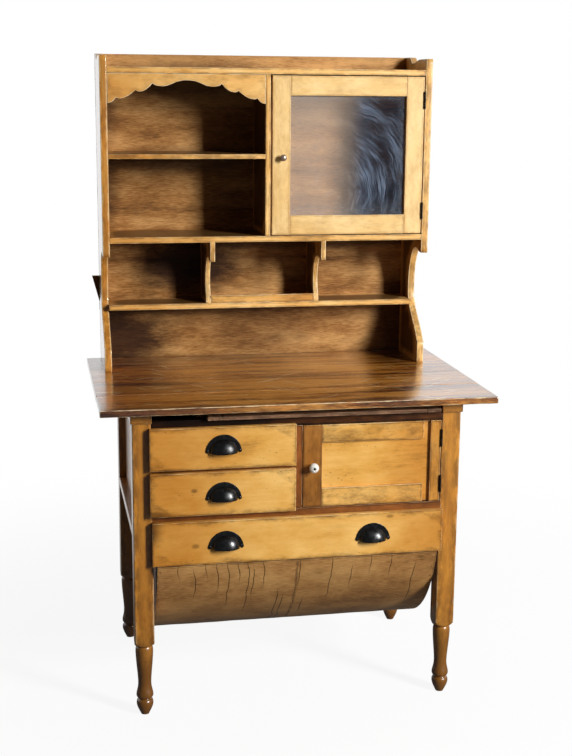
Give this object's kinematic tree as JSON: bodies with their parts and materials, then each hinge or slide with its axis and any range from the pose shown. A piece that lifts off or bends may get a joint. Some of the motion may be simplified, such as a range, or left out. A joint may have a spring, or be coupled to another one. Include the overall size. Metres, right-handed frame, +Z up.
{
  "type": "bakers cabinet",
  "caption": "Possum-belly bakers table with drawers, cupboard and pull-out bread board under a hutch with a glazed door, pigeonholes and scalloped shelf.",
  "frame": {"origin": "middle of the footprint box, on the floor", "axes": "+Z up; the front with the drawers faces -Y; +X is the right-hand side seen from the front"},
  "size_m": [0.978, 0.647, 1.625],
  "materials": {
    "worktop_wood": "dark varnish, scratched, worn pale along the front edge",
    "frame_wood": "worn waxed pine, darker in the corners",
    "rail_wood": "waxed pine",
    "inner_wood": "bare aged pine",
    "board_wood": "scrubbed pale wood",
    "front_wood": "golden waxed pine",
    "box_wood": "bare pine",
    "bin_wood": "dark aged pine",
    "belly_sheet": "thin bent wood, grey-brown and cracked",
    "black_iron": "satin black lacquer",
    "porcelain": "glazed white china",
    "hutch_wood": "waxed pine with pale worn edges",
    "hutch_back_wood": "mid-brown boards",
    "glass_door_wood": "light honey pine",
    "glass": "old window glass"
  },
  "bodies": {
    "cabinet": {"worktop": "worktop_wood", "bearers": "frame_wood", "leg_front_left": "frame_wood", "leg_front_right": "frame_wood", "leg_rear_left": "frame_wood", "leg_rear_right": "frame_wood", "top_rail": "rail_wood", "drawer_rail": "rail_wood", "middle_rail": "rail_wood", "centre_stile": "rail_wood", "side_panels": "frame_wood", "lower_rails": "frame_wood", "table_back": "inner_wood", "partition": "inner_wood", "cupboard_floor": "inner_wood", "drawer_runners": "inner_wood", "bin_runners": "inner_wood", "bread_guides": "inner_wood", "hutch_side_left": "hutch_wood", "hutch_side_right": "hutch_wood", "hutch_top": "hutch_wood", "hutch_back": "hutch_back_wood", "rear_batten": "hutch_back_wood", "hutch_partition": "hutch_wood", "middle_shelf": "hutch_wood", "hutch_bottom": "hutch_wood", "valance": "hutch_wood", "divider_left_board": "hutch_wood", "divider_right_board": "hutch_wood", "pigeonhole_shelf": "hutch_wood", "pigeonhole_lip": "hutch_wood", "fixed_hinge_leaves": "black_iron"},
    "bread_board": {"bread_board": "board_wood"},
    "upper_drawer": {"upper_drawer_front": "front_wood", "upper_drawer_sides": "box_wood", "upper_drawer_back": "box_wood", "upper_drawer_bottom": "box_wood", "upper_drawer_pull": "black_iron"},
    "lower_drawer": {"lower_drawer_front": "front_wood", "lower_drawer_sides": "box_wood", "lower_drawer_back": "box_wood", "lower_drawer_bottom": "box_wood", "lower_drawer_pull": "black_iron"},
    "flour_bin": {"bin_front": "front_wood", "bin_ends": "bin_wood", "bin_back": "bin_wood", "bin_divider": "bin_wood", "bin_belly": "belly_sheet", "bin_cleats": "bin_wood", "bin_pulls": "black_iron"},
    "cupboard_door": {"door_panel": "front_wood", "door_battens": "front_wood", "door_knob": "porcelain", "door_hinge_leaves": "black_iron"},
    "glass_door": {"glass_door_stiles": "glass_door_wood", "glass_door_rails": "glass_door_wood", "glass_pane": "glass", "glazing_beads": "glass_door_wood", "glass_door_knob": "black_iron", "glass_door_hinge_leaves": "black_iron"}
  },
  "joints": [
    {"name": "bread_board_slide", "type": "slide", "parent": "cabinet", "child": "bread_board", "axis": [0, -1, 0], "range_m": [0, 0.33]},
    {"name": "upper_drawer_slide", "type": "slide", "parent": "cabinet", "child": "upper_drawer", "axis": [0, -1, 0], "range_m": [0, 0.35]},
    {"name": "lower_drawer_slide", "type": "slide", "parent": "cabinet", "child": "lower_drawer", "axis": [0, -1, 0], "range_m": [0, 0.35]},
    {"name": "flour_bin_slide", "type": "slide", "parent": "cabinet", "child": "flour_bin", "axis": [0, -1, 0], "range_m": [0, 0.32]},
    {"name": "cupboard_door_hinge", "type": "hinge", "parent": "cabinet", "child": "cupboard_door", "pos_m": [0.35725, -0.2862, 0.5726], "axis": [0, 0, 1], "range_deg": [0, 170]},
    {"name": "glass_door_hinge", "type": "hinge", "parent": "cabinet", "child": "glass_door", "pos_m": [0.40525, 0.1028, 1.222], "axis": [0, 0, 1], "range_deg": [0, 170]}
  ]
}
